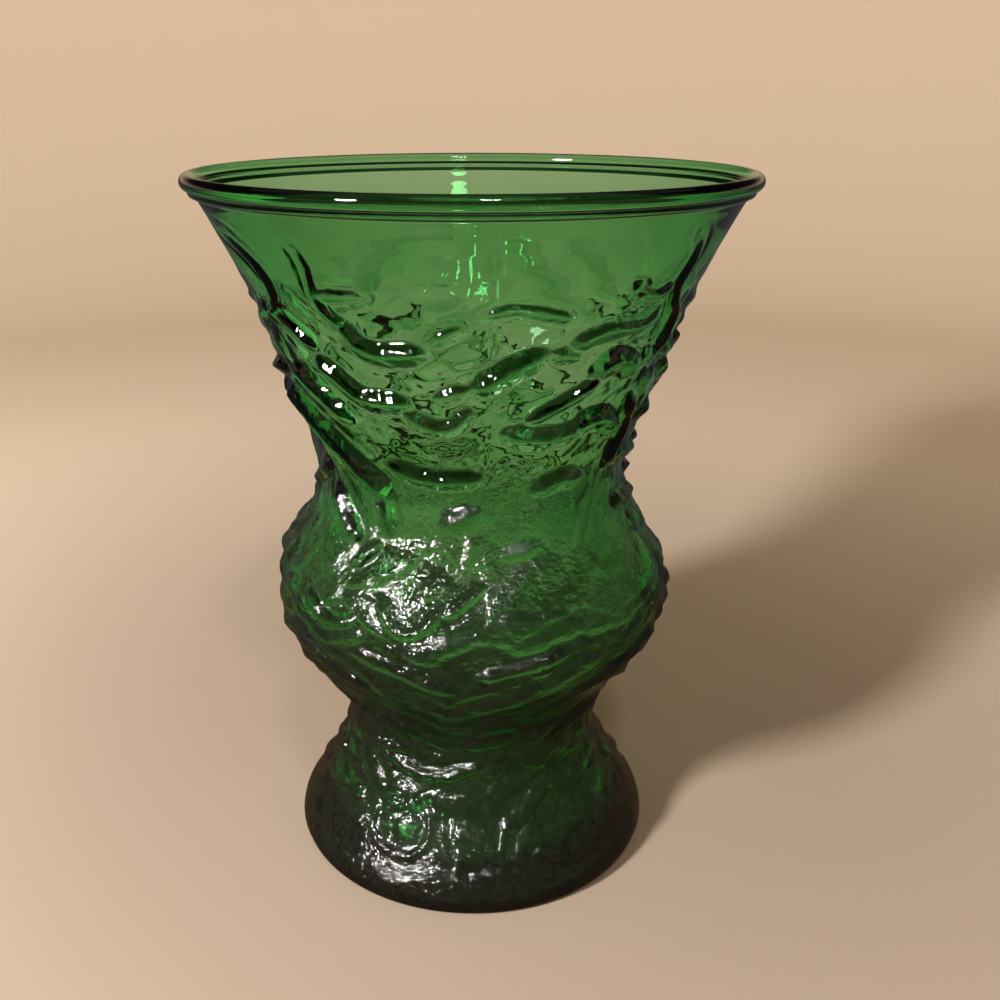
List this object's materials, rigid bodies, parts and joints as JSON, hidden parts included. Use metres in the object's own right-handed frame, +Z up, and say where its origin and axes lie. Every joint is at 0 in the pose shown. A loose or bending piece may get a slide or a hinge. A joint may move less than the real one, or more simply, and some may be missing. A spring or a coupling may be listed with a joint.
{
  "type": "flower vase",
  "caption": "Footed glass vase with a flared bell mouth over a round bulb, a waist and a spreading foot, all over bark-like relief.",
  "frame": {"origin": "centre of the plane that the vase stands on", "axes": "+Z up along the axis of the round body, from the foot to the mouth; -Y is the front"},
  "size_m": [0.1778, 0.1778, 0.235],
  "materials": {
    "green_glass": "transparent emerald green, glossy, with a moulded bark relief"
  },
  "bodies": {
    "root": {"glass_vase": "green_glass"}
  },
  "joints": []
}
